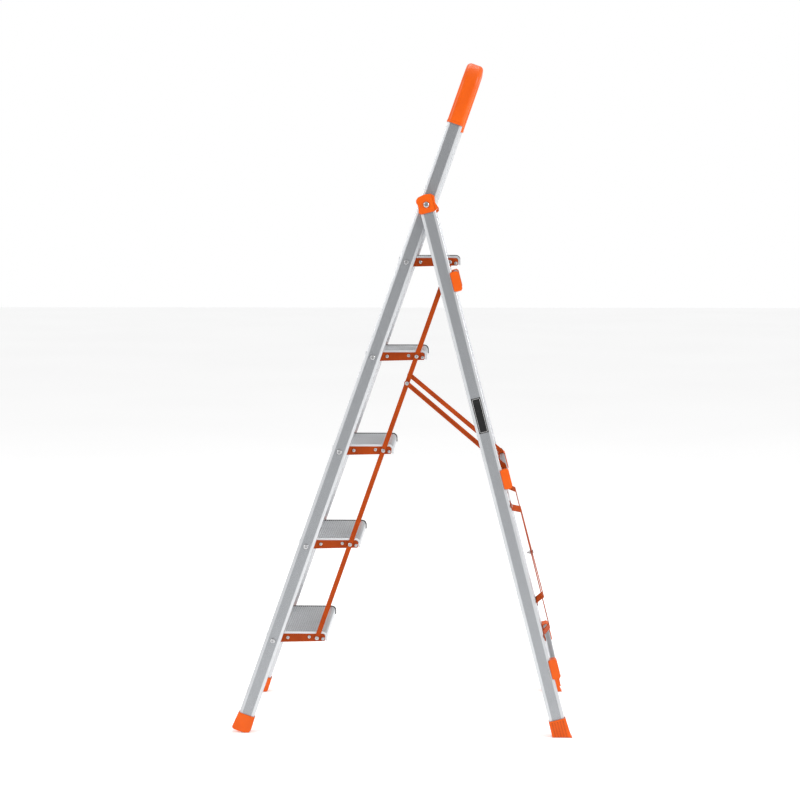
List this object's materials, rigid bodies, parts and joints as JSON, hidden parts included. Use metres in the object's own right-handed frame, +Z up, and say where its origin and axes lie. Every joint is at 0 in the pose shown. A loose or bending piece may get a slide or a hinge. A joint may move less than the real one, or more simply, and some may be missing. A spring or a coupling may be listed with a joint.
{
  "type": "platform step ladder",
  "caption": "Folding aluminium step ladder with hinged treads, link bars, a braced rear frame and a tall handrail with a moulded grip.",
  "frame": {"origin": "on the floor under the middle of the open ladder", "axes": "+Z up, -Y toward the climber, +X to the climber's right"},
  "size_m": [0.5246, 0.8638, 1.6977],
  "materials": {
    "aluminium": "satin anodised extrusion with fine lengthwise ribs",
    "inner_tube": "plain mill",
    "orange_plastic": "smooth moulded, half gloss",
    "orange_paint": "powder coated",
    "steel": "zinc plated",
    "dark_rubber": "matt",
    "nylon": "plain",
    "label": "printed film, blank"
  },
  "bodies": {
    "front_frame": {"front_foot_left": "orange_plastic", "front_foot_right": "orange_plastic", "front_rail_left": "aluminium", "front_rail_right": "aluminium", "handle_core": "inner_tube", "handle_grip": "orange_plastic", "hinge_bolts": "steel", "hinge_nuts": "steel", "hinge_washers": "nylon", "tread_bolts": "steel", "tread_bushes": "nylon", "tread_nuts": "steel"},
    "rear_frame": {"brace_lugs": "orange_paint", "brace_strip_inner": "orange_paint", "brace_strip_outer": "orange_paint", "cross_sockets_left": "orange_plastic", "cross_sockets_right": "orange_plastic", "cross_tube_bottom": "aluminium", "cross_tube_middle": "aluminium", "cross_tube_top": "aluminium", "label_plate": "label", "rear_foot_left": "orange_plastic", "rear_foot_right": "orange_plastic", "rear_hinge_cap_left": "orange_plastic", "rear_hinge_cap_right": "orange_plastic", "rear_rail_left": "aluminium", "rear_rail_right": "aluminium", "strip_fasteners": "steel"},
    "tread_1": {"tread_1_bracket_left": "orange_paint", "tread_1_bracket_right": "orange_paint", "tread_1_edge_seals": "dark_rubber", "tread_1_fasteners": "steel", "tread_1_plate": "aluminium"},
    "tread_2": {"tread_2_bracket_left": "orange_paint", "tread_2_bracket_right": "orange_paint", "tread_2_edge_seals": "dark_rubber", "tread_2_fasteners": "steel", "tread_2_plate": "aluminium"},
    "tread_3": {"tread_3_bracket_left": "orange_paint", "tread_3_bracket_right": "orange_paint", "tread_3_edge_seals": "dark_rubber", "tread_3_fasteners": "steel", "tread_3_plate": "aluminium"},
    "tread_4": {"tread_4_bracket_left": "orange_paint", "tread_4_bracket_right": "orange_paint", "tread_4_edge_seals": "dark_rubber", "tread_4_fasteners": "steel", "tread_4_plate": "aluminium"},
    "tread_5": {"tread_5_bracket_left": "orange_paint", "tread_5_bracket_right": "orange_paint", "tread_5_edge_seals": "dark_rubber", "tread_5_fasteners": "steel", "tread_5_plate": "aluminium"},
    "link_bar_left": {"link_bar_left": "orange_paint"},
    "brace_left": {"brace_bar_left": "orange_paint", "brace_rivet_left": "steel"},
    "link_bar_right": {"link_bar_right": "orange_paint"},
    "brace_right": {"brace_bar_right": "orange_paint", "brace_rivet_right": "steel"}
  },
  "joints": [
    {"name": "rear_frame_fold", "type": "hinge", "parent": "front_frame", "child": "rear_frame", "pos_m": [0, 0.0607, 1.338], "axis": [-1, 0, 0], "range_deg": [0, 33]},
    {"name": "tread_1_fold", "type": "hinge", "parent": "front_frame", "child": "tread_1", "pos_m": [0, -0.32808, 0.234], "axis": [1, 0, 0], "range_deg": [0, 64]},
    {"name": "tread_2_fold", "type": "hinge", "parent": "front_frame", "child": "tread_2", "pos_m": [0, -0.24356, 0.474], "axis": [1, 0, 0], "range_deg": [0, 64]},
    {"name": "tread_3_fold", "type": "hinge", "parent": "front_frame", "child": "tread_3", "pos_m": [0, -0.15905, 0.714], "axis": [1, 0, 0], "range_deg": [0, 64]},
    {"name": "tread_4_fold", "type": "hinge", "parent": "front_frame", "child": "tread_4", "pos_m": [0, -0.07453, 0.954], "axis": [1, 0, 0], "range_deg": [0, 64]},
    {"name": "tread_5_fold", "type": "hinge", "parent": "front_frame", "child": "tread_5", "pos_m": [0, 0.00999, 1.194], "axis": [1, 0, 0], "range_deg": [0, 64]},
    {"name": "link_bar_left_pivot", "type": "hinge", "parent": "tread_5", "child": "link_bar_left", "pos_m": [0, 0.11999, 1.194], "axis": [-1, 0, 0], "range_deg": [0, 64]},
    {"name": "brace_left_pivot", "type": "hinge", "parent": "rear_frame", "child": "brace_left", "pos_m": [0, 0.25648, 0.68002], "axis": [-1, 0, 0], "range_deg": [0, 32.2]},
    {"name": "link_bar_right_pivot", "type": "hinge", "parent": "tread_5", "child": "link_bar_right", "pos_m": [0, 0.11999, 1.194], "axis": [-1, 0, 0], "range_deg": [0, 64]},
    {"name": "brace_right_pivot", "type": "hinge", "parent": "rear_frame", "child": "brace_right", "pos_m": [0, 0.25648, 0.68002], "axis": [-1, 0, 0], "range_deg": [0, 32.2]}
  ],
  "couplings": [
    {"joint": "tread_1_fold", "follows": "rear_frame_fold", "ratio": 1.939},
    {"joint": "tread_2_fold", "follows": "rear_frame_fold", "ratio": 1.939},
    {"joint": "tread_3_fold", "follows": "rear_frame_fold", "ratio": 1.939},
    {"joint": "tread_4_fold", "follows": "rear_frame_fold", "ratio": 1.939},
    {"joint": "tread_5_fold", "follows": "rear_frame_fold", "ratio": 1.939},
    {"joint": "link_bar_left_pivot", "follows": "rear_frame_fold", "ratio": 1.939},
    {"joint": "brace_left_pivot", "follows": "rear_frame_fold", "ratio": 0.975},
    {"joint": "link_bar_right_pivot", "follows": "rear_frame_fold", "ratio": 1.939},
    {"joint": "brace_right_pivot", "follows": "rear_frame_fold", "ratio": 0.975}
  ]
}
